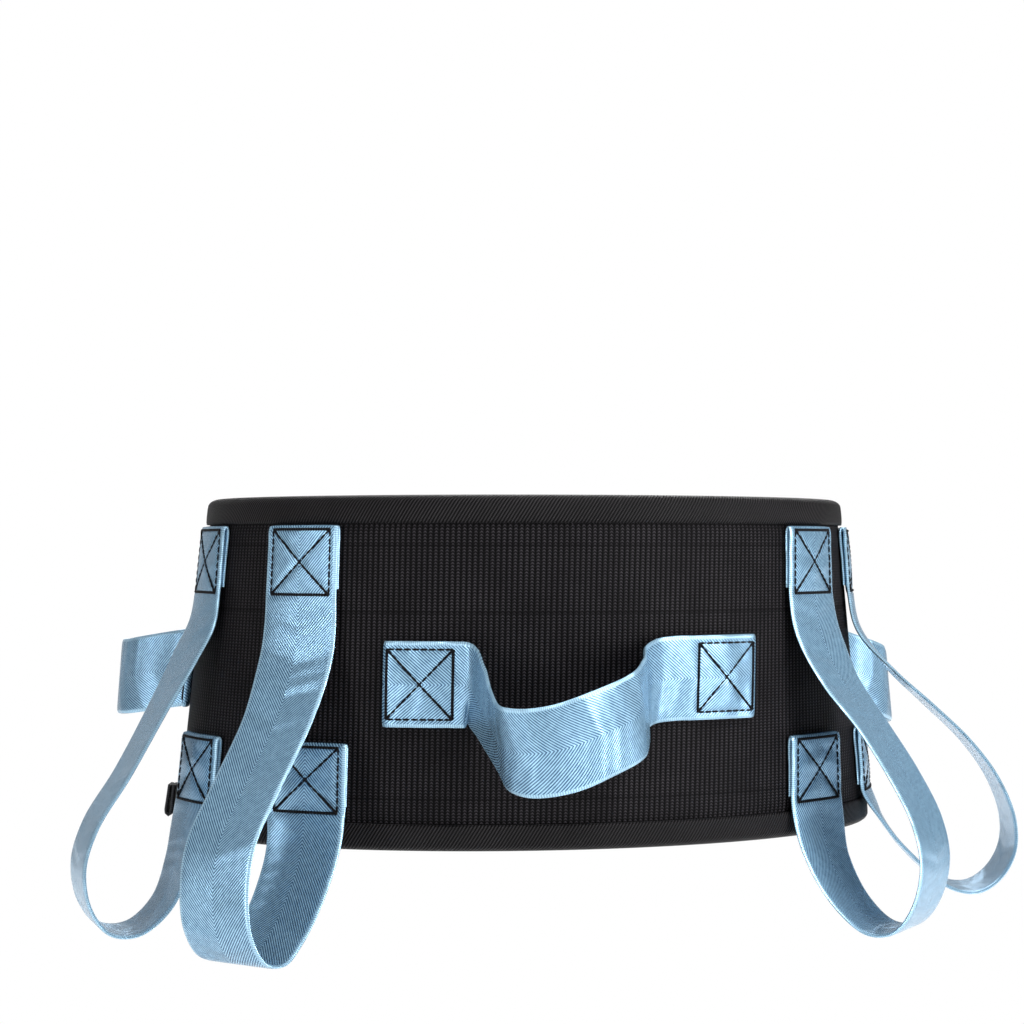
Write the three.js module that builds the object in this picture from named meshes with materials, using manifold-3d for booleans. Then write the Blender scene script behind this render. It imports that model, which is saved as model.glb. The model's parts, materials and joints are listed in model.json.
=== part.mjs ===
// Gait belt: a padded waist belt with seven webbing hand loops, closed in front by a side-release buckle.
// Millimetres, +Z up. The origin is the middle of the closed loop, at half the belt's height.
// The wearer's back is towards -Y and the buckle is towards +Y.
import * as THREE from "three";
import { mergeVertices } from "three/addons/utils/BufferGeometryUtils.js";
import Module from "manifold-3d";

const wasm = await Module();
wasm.setup();

// ---- Driving dimensions -------------------------------------------------------------------------

// The closed belt is a straight band: its top and bottom edges are ellipses of one length.
const BELT_HEIGHT = 133;
const TOP_HALF_WIDTH = 130;
const TOP_HALF_DEPTH = 109.5;
const BOTTOM_HALF_WIDTH = 144;
const BOTTOM_HALF_DEPTH = 93;
const STATION = 8; // step along the belt between two facets
const SHELL_ROWS = 4; // facets up the shell's outer face

const GAP = 0.35; // between layers that touch
const SHELL_THICK = 1.8;
const CORE_THICK = 3;
const LINER_THICK = 1;
const BINDING_THICK = 1.1;
const BINDING_REACH = 9; // how far the edge tape covers each face

const HINGE_AT = 189; // along the belt from the middle of the back: where an arm starts to open
const ARM_END = 331; // along the belt: the free end of each arm
const END_CORNER = 14; // radius of the arm's end corners

const STRAP_WIDTH = 32;
const STRAP_THICK = 1.6;
const PATCH_LENGTH = 28; // the folded and sewn end of a strap
const PATCH_THICK = 3.2;
const STITCH_ACROSS = 26;
const STITCH_ALONG = 24.5;
const STITCH_BAR = 1.2;
const STITCH_THICK = 0.7;
const STRAP_STEP = 5; // along a strap between two facets
const TURNED_BY = 20; // how far out from the belt a loop's plane has turned fully
const HELD_WITHIN = 20; // how far out from the belt a strap still follows the belt's flare
const LOOP_GAP = 2.2; // between a hand loop and the stiff root that it swings on

const UPPER_PATCH_Z = 41.5;
const LOWER_PATCH_Z = -40;

const CLOSURE_WIDTH = 38;
const BUCKLE_Y = 95.5; // the buckle's middle plane
const BUCKLE_HALF_WIDTH = 25;
const RAIL_INSIDE = 19.7; // half the clear width for the closure webbing
const SOCKET_INNER = -3.4; // the socket's inner and outer walls, from the buckle's middle plane
const SOCKET_OUTER = 4.4;
const FEMALE_BAR_X = 34;
const MALE_BAR_X = -12;
const TURN_AT_FEMALE = 3.65; // radius of the webbing's turn round each bar
const TURN_AT_MALE = 2.65;
const TAB_ALONG = -200; // the small sewn tab at the lower edge of the left arm
const TAB_WIDTH = 12;

// ---- Derived dimensions -------------------------------------------------------------------------

const PANEL_HALF = BELT_HEIGHT / 2 - GAP - BINDING_THICK;
const CORE_OUT = -SHELL_THICK - GAP;
const CORE_IN = CORE_OUT - CORE_THICK;
const LINER_OUT = CORE_IN - GAP;
const LINER_IN = LINER_OUT - LINER_THICK;
const PATCH_TOP = GAP + PATCH_THICK;
const STRAP_SEAT = GAP + PATCH_THICK - STRAP_THICK / 2; // a strap's middle where it leaves its patch

// ---- Materials ----------------------------------------------------------------------------------

function finish(colour, roughness) {
  return new THREE.MeshStandardMaterial({ color: colour, roughness, metalness: 0 });
}

const webbingBlack = finish(0x17171b, 0.75);
const foamGrey = finish(0x3a3a3e, 0.95);
const linerBlack = finish(0x1c1c20, 0.9);
const tapeBlack = finish(0x1b1a1c, 0.65);
const strapBlue = finish(0x7fb0dc, 0.5);
const threadBlack = finish(0x0d0d12, 0.6);
const plasticBlack = finish(0x141416, 0.45);

// ---- Solids -------------------------------------------------------------------------------------

const belt = new THREE.Group();

function add(name, geometry, material) {
  const mesh = new THREE.Mesh(geometry, material);
  mesh.name = name;
  belt.add(mesh);
}

// A solid through a row of closed rings of points, each ring counter-clockwise as seen from its end.
function sweep(rings) {
  const count = rings[0].length;
  const position = rings.flatMap((ring) => ring.flatMap((p) => [p.x, p.y, p.z]));
  const index = [];
  for (let i = 0; i + 1 < rings.length; i++) {
    for (let j = 0; j < count; j++) {
      const k = (j + 1) % count;
      const [a, b, c, d] = [i * count + j, i * count + k, (i + 1) * count + k, (i + 1) * count + j];
      // Each four-sided facet is split along its shorter diagonal, so that parallel faces stay parallel.
      const falling = rings[i][j].distanceTo(rings[i + 1][k]) <= rings[i][k].distanceTo(rings[i + 1][j]);
      index.push(...(falling ? [a, b, c, a, c, d] : [a, b, d, b, c, d]));
    }
  }
  const last = (rings.length - 1) * count;
  for (const [a, b, c] of capTriangles(rings[0])) {
    index.push(a, c, b, last + a, last + b, last + c);
  }
  const geometry = new THREE.BufferGeometry();
  geometry.setAttribute("position", new THREE.Float32BufferAttribute(position, 3));
  geometry.setIndex(index);
  return geometry;
}

// The triangles that fill a ring, found in the ring's own plane.
function capTriangles(ring) {
  const normal = new THREE.Vector3();
  ring.forEach((p, i) => normal.add(p.clone().cross(ring[(i + 1) % ring.length])));
  normal.normalize();
  const u = ring[1].clone().sub(ring[0]).projectOnPlane(normal).normalize();
  const v = normal.clone().cross(u);
  const flat = ring.map((p) => new THREE.Vector2(p.dot(u), p.dot(v)));
  return THREE.ShapeUtils.triangulateShape(flat, []);
}

function solidOf(geometry) {
  const bare = geometry.index ? geometry.toNonIndexed() : geometry.clone();
  bare.deleteAttribute("normal");
  bare.deleteAttribute("uv");
  const merged = mergeVertices(bare, 1e-3);
  return new wasm.Manifold(
    new wasm.Mesh({
      numProp: 3,
      vertProperties: merged.attributes.position.array,
      triVerts: new Uint32Array(merged.index.array),
    }),
  );
}

function geometryOf(solid) {
  const mesh = solid.getMesh();
  const geometry = new THREE.BufferGeometry();
  geometry.setAttribute("position", new THREE.BufferAttribute(mesh.vertProperties, 3));
  geometry.setIndex(new THREE.BufferAttribute(mesh.triVerts, 1));
  return geometry;
}

function join(...geometries) {
  return geometryOf(geometries.map(solidOf).reduce((whole, piece) => whole.add(piece)));
}

function cut(geometry, ...tools) {
  return geometryOf(tools.map(solidOf).reduce((whole, tool) => whole.subtract(tool), solidOf(geometry)));
}

function box(x0, x1, y0, y1, z0, z1) {
  const geometry = new THREE.BoxGeometry(x1 - x0, y1 - y0, z1 - z0);
  return geometry.translate((x0 + x1) / 2, (y0 + y1) / 2, (z0 + z1) / 2);
}

function steps(from, to, size) {
  const count = Math.max(1, Math.round(Math.abs(to - from) / size));
  return Array.from({ length: count + 1 }, (_, i) => from + ((to - from) * i) / count);
}

// ---- The belt's surface -------------------------------------------------------------------------

// An ellipse that gives its point and tangent at a share of its length, counted from -Y towards +X.
function ellipse(halfWidth, halfDepth) {
  const fine = 2000;
  const at = (angle) => new THREE.Vector2(halfWidth * Math.sin(angle), -halfDepth * Math.cos(angle));
  const lengths = [0];
  for (let i = 1; i <= fine; i++) {
    const step = at((2 * Math.PI * i) / fine).distanceTo(at((2 * Math.PI * (i - 1)) / fine));
    lengths.push(lengths[i - 1] + step);
  }
  const whole = lengths[fine];
  function angleAt(share) {
    const wanted = (share - Math.floor(share)) * whole;
    const i = Math.min(lengths.findIndex((length) => length > wanted), fine);
    const part = (wanted - lengths[i - 1]) / (lengths[i] - lengths[i - 1]);
    return (2 * Math.PI * (i - 1 + part)) / fine;
  }
  return {
    length: whole,
    point: (share) => at(angleAt(share)),
    tangent(share) {
      const angle = angleAt(share);
      return new THREE.Vector2(halfWidth * Math.cos(angle), halfDepth * Math.sin(angle)).normalize();
    },
  };
}

const topEdge = ellipse(TOP_HALF_WIDTH, TOP_HALF_DEPTH);
const bottomEdge = ellipse(BOTTOM_HALF_WIDTH, BOTTOM_HALF_DEPTH);
const BELT_LENGTH = (topEdge.length + bottomEdge.length) / 2;

// The point at a distance `along` the belt from the middle of the back (positive towards +X),
// at height z, and `out` millimetres outside the shell's outer face.
function onBelt(along, z, out) {
  const share = along / BELT_LENGTH;
  const rise = (z + BELT_HEIGHT / 2) / BELT_HEIGHT;
  const point = bottomEdge.point(share).lerp(topEdge.point(share), rise);
  const tangent = bottomEdge.tangent(share).lerp(topEdge.tangent(share), rise).normalize();
  return new THREE.Vector3(point.x + tangent.y * out, point.y - tangent.x * out, z);
}

function tangentAt(along, z) {
  const before = onBelt(along - 0.5, z, 0);
  return onBelt(along + 0.5, z, 0).sub(before).normalize();
}

// The direction straight up the belt's sloping face.
function upBelt(along) {
  return onBelt(along, 1, 0).sub(onBelt(along, -1, 0)).normalize();
}

// ---- Belt panels and edge tapes -----------------------------------------------------------------

// Half the height of a panel near an arm's rounded end.
function halfHeight(along, end) {
  const into = Math.max(0, Math.abs(along) - (end - END_CORNER));
  return PANEL_HALF - END_CORNER + Math.sqrt(Math.max(0, END_CORNER ** 2 - into ** 2));
}

// Stations along a panel, closer together around a rounded end.
function armStations(end) {
  const corner = [0.35, 0.65, 0.87, 0.97, 1].map((share) => end - END_CORNER + END_CORNER * share);
  return [...steps(HINGE_AT + GAP, end - END_CORNER, STATION), ...corner];
}

// The outer face can take more rows of facets, to follow the belt's twist more closely.
function panel(stations, outer, inner, end, rows = 1) {
  return sweep(
    stations.map((along) => {
      const half = halfHeight(along, end);
      const face = steps(half, -half, (2 * half) / rows).map((z) => onBelt(along, z, outer));
      return [onBelt(along, -half, inner), onBelt(along, half, inner), ...face];
    }),
  );
}

// The edge tape's section: [distance in from the panel's edge, distance out from the shell].
const TAPE_OUT = GAP + BINDING_THICK;
const TAPE_IN = LINER_IN - GAP - BINDING_THICK;
const TAPE_SECTION = [
  [-GAP, GAP],
  [-GAP, LINER_IN - GAP],
  [BINDING_REACH, LINER_IN - GAP],
  [BINDING_REACH, TAPE_IN],
  [-GAP - BINDING_THICK, TAPE_IN],
  [-GAP - BINDING_THICK, TAPE_OUT],
  [BINDING_REACH, TAPE_OUT],
  [BINDING_REACH, GAP],
];

// A tape folded over a panel's edge. Each point of the route is [along, z, inward along, inward z].
function tape(route) {
  return sweep(
    route.map(([along, z, inAlong, inZ]) =>
      TAPE_SECTION.map(([inward, out]) => onBelt(along + inAlong * inward, z + inZ * inward, out)),
    ),
  );
}

// The tape's route round one arm: along the top, round the end, and back along the bottom.
function armTapeRoute(side) {
  const route = steps(HINGE_AT + GAP, ARM_END - END_CORNER, STATION).map((a) => [a, PANEL_HALF, 0, -1]);
  const centre = ARM_END - END_CORNER;
  const level = PANEL_HALF - END_CORNER;
  for (const angle of [72, 54, 36, 18, 0].map(THREE.MathUtils.degToRad)) {
    const [c, s] = [Math.cos(angle), Math.sin(angle)];
    route.push([centre + END_CORNER * c, level + END_CORNER * s, -c, -s]);
  }
  const lower = route.map(([a, z, inAlong, inZ]) => [a, -z, inAlong, -inZ]).reverse();
  const whole = [...route, ...lower].map(([a, z, inAlong, inZ]) => [side * a, z, side * inAlong, inZ]);
  return side > 0 ? whole : whole.reverse();
}

const CORE_END = ARM_END - 30; // the foam stops short, to make room for the sewn-in webbing

function backPanel() {
  const stations = steps(-HINGE_AT, HINGE_AT, STATION);
  add("back_shell", panel(stations, 0, -SHELL_THICK, ARM_END, SHELL_ROWS), webbingBlack);
  add("back_foam_core", panel(stations, CORE_OUT, CORE_IN, ARM_END), foamGrey);
  add("back_liner", panel(stations, LINER_OUT, LINER_IN, ARM_END), linerBlack);
  const top = stations.map((along) => [along, PANEL_HALF, 0, -1]);
  const bottom = stations.map((along) => [along, -PANEL_HALF, 0, 1]).reverse();
  add("back_top_binding", tape(top), tapeBlack);
  add("back_bottom_binding", tape(bottom), tapeBlack);
}

function arm(side, name) {
  const along = (end) => {
    const list = armStations(end).map((a) => side * a);
    return side > 0 ? list : list.reverse();
  };
  add(`${name}_arm_shell`, panel(along(ARM_END), 0, -SHELL_THICK, ARM_END, SHELL_ROWS), webbingBlack);
  add(`${name}_arm_foam_core`, panel(along(CORE_END), CORE_OUT, CORE_IN, CORE_END), foamGrey);
  add(`${name}_arm_liner`, panel(along(ARM_END), LINER_OUT, LINER_IN, ARM_END), linerBlack);
  // A slot in the end tape lets the closure webbing out from between the shell and the liner.
  const slot = sweep(
    steps(side * (ARM_END + 4 * side), side * (ARM_END - 4 * side), 2).map((a) => [
      onBelt(a, -RAIL_INSIDE, CORE_OUT + GAP),
      onBelt(a, RAIL_INSIDE, CORE_OUT + GAP),
      onBelt(a, RAIL_INSIDE, CORE_IN - GAP),
      onBelt(a, -RAIL_INSIDE, CORE_IN - GAP),
    ]),
  );
  add(`${name}_arm_binding`, cut(tape(armTapeRoute(side)), slot), tapeBlack);
}

// ---- Webbing ------------------------------------------------------------------------------------

// A flat strap through a row of points. `across` gives the direction of its width at each of them.
function band(points, across, width, thick) {
  const last = points.length - 1;
  const rings = points.map((centre, i) => {
    const ahead = points[Math.min(i + 1, last)].clone().sub(points[Math.max(i - 1, 0)]).normalize();
    const wide = across[i].clone().projectOnPlane(ahead).normalize();
    const deep = ahead.clone().cross(wide);
    const corner = (w, d) => centre.clone().addScaledVector(wide, w).addScaledVector(deep, d);
    return [
      corner(-width / 2, -thick / 2),
      corner(width / 2, -thick / 2),
      corner(width / 2, thick / 2),
      corner(-width / 2, thick / 2),
    ];
  });
  return sweep(rings);
}

// A flat strap along a stretch of a smooth route.
function ribbon(route, across, width, thick, from, to) {
  const curve = new THREE.CatmullRomCurve3(route, false, "centripetal");
  curve.arcLengthDivisions = 800;
  const widths = new THREE.CatmullRomCurve3(across, false, "catmullrom");
  const shares = steps(from, to, STRAP_STEP).map((distance) => distance / curve.getLength());
  return band(
    shares.map((share) => curve.getPointAt(share)),
    shares.map((share) => widths.getPoint(curve.getUtoTmapping(share))),
    width,
    thick,
  );
}

function routeLength(route) {
  const curve = new THREE.CatmullRomCurve3(route, false, "centripetal");
  curve.arcLengthDivisions = 800;
  return curve.getLength();
}

// A block that follows the belt's face.
function block(along0, along1, z0, z1, out0, out1) {
  return sweep(
    steps(Math.min(along0, along1), Math.max(along0, along1), STATION).map((a) => [
      onBelt(a, z0, out1),
      onBelt(a, z0, out0),
      onBelt(a, z1, out0),
      onBelt(a, z1, out1),
    ]),
  );
}

// A thin solid on the belt's face, made of flat cells that share their edges. Each cell is a list
// of [along, z] corners, counter-clockwise as seen from outside the belt.
function slab(cells, low, high) {
  const points = [];
  const put = (...corners) => points.push(...corners.map(([[along, z], out]) => onBelt(along, z, out)));
  const key = (p, q) => [...p, ...q].map((value) => value.toFixed(3)).join();
  const sides = cells.flatMap((cell) => cell.map((p, i) => [p, cell[(i + 1) % cell.length]]));
  const shared = new Set(sides.map(([p, q]) => key(q, p)));
  for (const cell of cells) {
    for (let i = 1; i + 1 < cell.length; i++) {
      const [p, q, r] = [cell[0], cell[i], cell[i + 1]];
      put([p, high], [q, high], [r, high], [p, low], [r, low], [q, low]);
    }
  }
  for (const [p, q] of sides.filter(([from, to]) => !shared.has(key(from, to)))) {
    put([p, low], [q, low], [q, high], [p, low], [q, high], [p, high]);
  }
  return new THREE.BufferGeometry().setFromPoints(points);
}

// A row of cells between two lines of thread edge, short enough to follow the belt's curve.
function strip(a0, a1, b0, b1, size) {
  const between = (p, q, share) => [p[0] + (q[0] - p[0]) * share, p[1] + (q[1] - p[1]) * share];
  const count = Math.ceil(Math.hypot(a1[0] - a0[0], a1[1] - a0[1]) / size);
  return Array.from({ length: count }, (_, i) => {
    const [from, to] = [i / count, (i + 1) / count];
    return [between(a0, a1, from), between(a0, a1, to), between(b0, b1, to), between(b0, b1, from)];
  });
}

// The sewn box with its two diagonals, on top of a patch: one connected line of thread.
function stitchBox(along, z, alongSize, zSize) {
  const corner = (i, w, h) => [along + [-w, w, w, -w][i % 4], z + [-h, -h, h, h][i % 4]];
  const outer = (i) => corner(i, alongSize / 2, zSize / 2);
  // Between the lines lie four triangles: each has two corners by the box and one by the middle.
  const inset = STITCH_BAR;
  const shift = STITCH_BAR * 0.8;
  const triangle = (i) => {
    const [w, h] = [alongSize / 2 - inset, zSize / 2 - inset];
    const level = i % 2 === 0;
    const near = corner(i, level ? w - shift : w, level ? h : h - shift);
    const far = corner(i + 1, level ? w - shift : w, level ? h : h - shift);
    const apex = [along + [0, shift, 0, -shift][i % 4], z + [-shift, 0, shift, 0][i % 4]];
    return { near, far, apex };
  };
  const cells = [[0, 1, 2, 3].map((i) => triangle(i).apex)];
  for (let i = 0; i < 4; i++) {
    const [here, before] = [triangle(i), triangle(i + 3)];
    cells.push([outer(i), here.near, before.far]);
    cells.push(...strip(outer(i), outer(i + 1), here.near, here.far, STATION));
    cells.push(...strip(here.near, here.apex, before.far, before.apex, STATION));
  }
  return slab(cells, PATCH_TOP + GAP, PATCH_TOP + GAP + STITCH_THICK);
}

// ---- Hand loops ---------------------------------------------------------------------------------

const UPPER_ROOT = 46; // length of the stiff root below the upper patch
const LOWER_ROOT = 34; // length of the stiff root below the lower patch

// The upright loops: where each is sewn along the belt, how far the plane it hangs in is turned in degrees,
// and its route from the upper patch to the lower one, as [out from the belt, height].
const UPRIGHT_LOOPS = [
  {
    name: "left_back_handle",
    upper: -107,
    lower: -101.5,
    turn: -6,
    route: [
      [STRAP_SEAT, 28.7],
      [3.1, 18],
      [4.8, 7],
      [15, -15],
      [35.5, -42],
      [48.5, -59],
      [52.5, -75],
      [51, -90],
      [43.5, -100.5],
      [33, -102.5],
      [24.5, -96.5],
      [15, -83],
      [7, -66.5],
      [STRAP_SEAT, -53.1],
    ],
  },
  {
    name: "left_side_handle",
    upper: -168,
    lower: -161,
    turn: -8,
    route: [
      [STRAP_SEAT, 28],
      [3.6, 17],
      [7.5, 5],
      [18.5, -16],
      [32.5, -41],
      [45, -60.5],
      [49.8, -76],
      [47.5, -91],
      [40, -100.5],
      [29.5, -101],
      [17.5, -91.5],
      [7.5, -73],
      [STRAP_SEAT, -53.1],
    ],
  },
  {
    name: "right_back_handle",
    upper: 107,
    lower: 108.5,
    turn: 10,
    route: [
      [STRAP_SEAT, 28.7],
      [4.6, 15],
      [13.2, -4],
      [26.4, -22],
      [38.8, -40],
      [48.3, -58],
      [51.2, -73.5],
      [47.5, -89],
      [40, -98.5],
      [29.5, -100],
      [18.3, -91.5],
      [8.6, -75],
      [STRAP_SEAT, -53.1],
    ],
  },
  {
    name: "right_side_handle",
    upper: 161,
    lower: 162,
    turn: 9,
    route: [
      [STRAP_SEAT, 28.7],
      [4.6, 13.5],
      [15.5, -2.5],
      [32, -18],
      [47, -32.5],
      [58, -47.5],
      [64.5, -64],
      [64.5, -77],
      [59, -87.5],
      [50, -93.5],
      [38.5, -92],
      [22.5, -78.5],
      [9.5, -65],
      [STRAP_SEAT, -53.1],
    ],
  },
];

// The middle line of an upright loop and the direction of its width at each point.
function uprightRoute({ upper, lower, turn, route }) {
  const middle = (upper + lower) / 2;
  const base = onBelt(middle, 0, 0);
  const sideways = tangentAt(middle, 0);
  const outward = new THREE.Vector3(sideways.y, -sideways.x, 0);
  const across = [];
  const points = route.map(([out, z], i) => {
    const surface = onBelt(middle, z, 0).sub(base).dot(outward);
    const held = Math.max(0, 1 - out / HELD_WITHIN);
    const drift = (upper - middle) * (1 - (2 * i) / (route.length - 1));
    const angle = THREE.MathUtils.degToRad(turn * Math.min(1, (out - STRAP_SEAT) / TURNED_BY));
    const turned = (v) => v.clone().applyAxisAngle(new THREE.Vector3(0, 0, 1), angle);
    across.push(turned(sideways).negate());
    const point = base.clone().addScaledVector(sideways, drift).addScaledVector(turned(outward), out);
    return point.addScaledVector(outward, surface * held).setZ(z);
  });
  return { points, across };
}

function uprightLoop(loop) {
  const { name, upper, lower } = loop;
  const { points, across } = uprightRoute(loop);
  const length = routeLength(points);
  const strap = (from, to) => ribbon(points, across, STRAP_WIDTH, STRAP_THICK, from, to);
  const patches = [
    ["upper", upper, UPPER_PATCH_Z, strap(0, UPPER_ROOT)],
    ["lower", lower, LOWER_PATCH_Z, strap(length - LOWER_ROOT, length)],
  ];
  for (const [end, along, z, root] of patches) {
    const patch = block(
      along - STRAP_WIDTH / 2,
      along + STRAP_WIDTH / 2,
      z - PATCH_LENGTH / 2,
      z + PATCH_LENGTH / 2,
      GAP,
      PATCH_TOP,
    );
    add(`${name}_${end}_end`, join(patch, root), strapBlue);
    add(`${name}_${end}_stitching`, stitchBox(along, z, STITCH_ACROSS, STITCH_ALONG), threadBlack);
  }
  add(`${name}_loop`, strap(UPPER_ROOT + LOOP_GAP, length - LOWER_ROOT - LOOP_GAP), strapBlue);
}

// A level loop runs along the belt between two patches. Each point of its route is [along the belt, out from
// the belt, height, tilt, lean]: the tilt turns the top of its width back along the belt and the lean turns it
// outward, in degrees.
const LEVEL_LOOPS = [
  {
    name: "center_back_handle",
    patches: [-72.3, 45],
    roots: [15, 37],
    route: [
      [-45.4, STRAP_SEAT, -3.6, 0, 0],
      [-40.5, 5, -3.6, 0, 0],
      [-37.3, 9, -6.4, 2, 4],
      [-33.5, 14.5, -14, 4, 18],
      [-30, 23.5, -21, 6, 22],
      [-27.5, 33, -24.5, 7, 8],
      [-21, 40.5, -25.5, 9, -3],
      [-11, 43.5, -23.5, 11, -4],
      [1, 41, -18.5, 12, 0],
      [12.5, 33.5, -13.5, 9, 0],
      [19, 21, -9, 5, 0],
      [23.3, 9, -5, 1, 0],
      [29.5, 3.6, -2.8, 0, 0],
      [37, STRAP_SEAT, -2, 0, 0],
      [46, STRAP_SEAT, -2, 0, 0],
    ],
  },
  {
    name: "left_front_handle",
    patches: [-221, -320],
    roots: [19, 19],
    route: [
      [-219.9, STRAP_SEAT, -2, 0, 0],
      [-221.5, 7, -2, 0, 0],
      [-222.5, 20, -5, 0, 0],
      [-226, 39, -8, 0, 0],
      [-237, 52, -9, 0, 0],
      [-254, 54, -9, 0, 0],
      [-271, 44, -7, 0, 0],
      [-285, 23, -4, 0, 0],
      [-290, 7, -2.5, 0, 0],
      [-293.1, STRAP_SEAT, -2, 0, 0],
    ],
  },
  {
    name: "right_front_handle",
    patches: [193, 292],
    roots: [19, 19],
    route: [
      [219.9, STRAP_SEAT, -2, 0, 0],
      [220.4, 9, -2, 0, 0],
      [217.4, 24, -7, 0, 0],
      [216.5, 42, -13.5, 0, 0],
      [226.5, 58, -17.5, 0, 0],
      [242, 59.5, -17.5, 0, 0],
      [260, 48, -13, 0, 0],
      [276, 30, -8, 0, 0],
      [287, 13, -4, 0, 0],
      [293.1, STRAP_SEAT, -2, 0, 0],
    ],
  },
];

function levelLoop({ name, patches, roots, route }) {
  const points = route.map(([along, out, z]) => onBelt(along, z, out));
  const forward = Math.sign(route[route.length - 1][0] - route[0][0]);
  const across = route.map(([along, away, z, tilt, lean]) => {
    const [back, out] = [tilt, lean].map((angle) => Math.sin(THREE.MathUtils.degToRad(angle)));
    const outward = onBelt(along, z, 1).sub(onBelt(along, z, 0));
    const flare = onBelt(along, z, 0).sub(onBelt(along, z - STRAP_WIDTH / 2, 0)).normalize();
    const width = upBelt(along).lerp(flare, Math.max(0, 1 - away / HELD_WITHIN));
    width.addScaledVector(tangentAt(along, 0), -back).addScaledVector(outward, out);
    return width.normalize().multiplyScalar(forward);
  });
  const length = routeLength(points);
  const strap = (from, to) => ribbon(points, across, STRAP_WIDTH, STRAP_THICK, from, to);
  const straps = [strap(0, roots[0]), strap(length - roots[1], length)];
  ["first", "second"].forEach((end, i) => {
    const [from, to] = [patches[i], patches[i] + PATCH_LENGTH];
    const z = route[i === 0 ? 0 : route.length - 1][2];
    const patch = block(from, to, z - STRAP_WIDTH / 2, z + STRAP_WIDTH / 2, GAP, PATCH_TOP);
    add(`${name}_${end}_end`, join(patch, straps[i]), strapBlue);
    const stitching = stitchBox((from + to) / 2, z, STITCH_ALONG, STITCH_ACROSS);
    add(`${name}_${end}_stitching`, stitching, threadBlack);
  });
  add(`${name}_loop`, strap(roots[0] + LOOP_GAP, length - roots[1] - LOOP_GAP), strapBlue);
}

// ---- Closure ------------------------------------------------------------------------------------

// Places on the buckle are given as x, distance out from its middle plane, and z.
function buckleBox(x0, x1, out0, out1, z0, z1) {
  return box(x0, x1, BUCKLE_Y + out0, BUCKLE_Y + out1, z0, z1);
}

// A plate with a given outline of [x, z] points, counter-clockwise as seen from the wearer's side.
function plate(outline, out0, out1) {
  return sweep([out0, out1].map((out) => outline.map(([x, z]) => new THREE.Vector3(x, BUCKLE_Y + out, z))));
}

function circleOutline(x, z, radius, sides) {
  return Array.from({ length: sides }, (_, i) => {
    const angle = (2 * Math.PI * i) / sides;
    return [x + radius * Math.sin(angle), z + radius * Math.cos(angle)];
  });
}

function femaleHalf() {
  const half = BUCKLE_HALF_WIDTH;
  const body = buckleBox(3, 37, -6, 6.5, -half, half);
  const socket = buckleBox(2, 24, SOCKET_INNER, SOCKET_OUTER, -19, 19);
  const sideWindows = buckleBox(2, 21.5, SOCKET_INNER, SOCKET_OUTER, -half - 1, half + 1);
  const webbingSlot = buckleBox(26.5, 38, -7, 7.5, -RAIL_INSIDE, RAIL_INSIDE);
  const gripRadius = 14;
  const grips = [1, -1].map((side) => plate(circleOutline(13, side * 35, gripRadius, 32), -7, 7.5));
  const bar = buckleBox(FEMALE_BAR_X - 2, FEMALE_BAR_X + 2, -1.8, 1.8, -half + 1, half - 1);
  add("buckle_female", join(cut(body, socket, sideWindows, webbingSlot, ...grips), bar), plasticBlack);
}

function maleHalf() {
  const half = BUCKLE_HALF_WIDTH;
  const body = buckleBox(-24, 2.5, -4.5, 4.5, -half, half);
  const opening = buckleBox(-25, -4, -5, 5, -RAIL_INSIDE, RAIL_INSIDE);
  const middleBar = buckleBox(MALE_BAR_X - 1.2, MALE_BAR_X + 1.2, -1.2, 1.2, -half + 1, half - 1);
  const endBar = buckleBox(-24, -20, -1.2, 1.2, -half + 1, half - 1);
  const tongue = buckleBox(2, 20, -1.5, 1.5, -4, 4);
  add("buckle_male", join(cut(body, opening), middleBar, endBar, tongue), plasticBlack);
  const outline = [
    [2.85, 12],
    [18, 12],
    [22, 14],
    [22, 17.5],
    [20, 17.5],
    [20, 22.5],
    [19, 23.5],
    [11, 23.5],
    [10, 22.5],
    [10, 17.5],
    [2.85, 17.5],
  ];
  add("buckle_upper_prong", plate([...outline].reverse(), -1.6, 1.6), plasticBlack);
  const mirrored = outline.map(([x, z]) => [x, -z]);
  add("buckle_lower_prong", plate(mirrored, -1.6, 1.6), plasticBlack);
}

// The closure webbing is sewn in between an arm's shell and liner. These are its points in the arm,
// out to the arm's end.
const SEWN_IN = -3.65;

function sewnStretch(side) {
  return steps(side * 303, side * 335, 8).map((along) => ({
    point: onBelt(along, 0, SEWN_IN),
    across: upBelt(along),
  }));
}

// Points of the webbing at the buckle: it runs straight up and down there.
function buckleStretch(places) {
  return places.map(([x, out]) => ({
    point: new THREE.Vector3(x, BUCKLE_Y + out, 0),
    across: new THREE.Vector3(0, 0, 1),
  }));
}

// Half a turn round a bar, from its inner side to its outer side. `facing` is the way the turn bulges.
function turn(x, radius, facing) {
  return steps(0, Math.PI, Math.PI / 8).map((angle) => [
    x + facing * radius * Math.sin(angle),
    -radius * Math.cos(angle),
  ]);
}

function webbing(name, stretches, material) {
  const whole = stretches.flat();
  const points = whole.map(({ point }) => point);
  const across = whole.map((place) => place.across);
  add(name, band(points, across, CLOSURE_WIDTH, STRAP_THICK), material);
}

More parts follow.
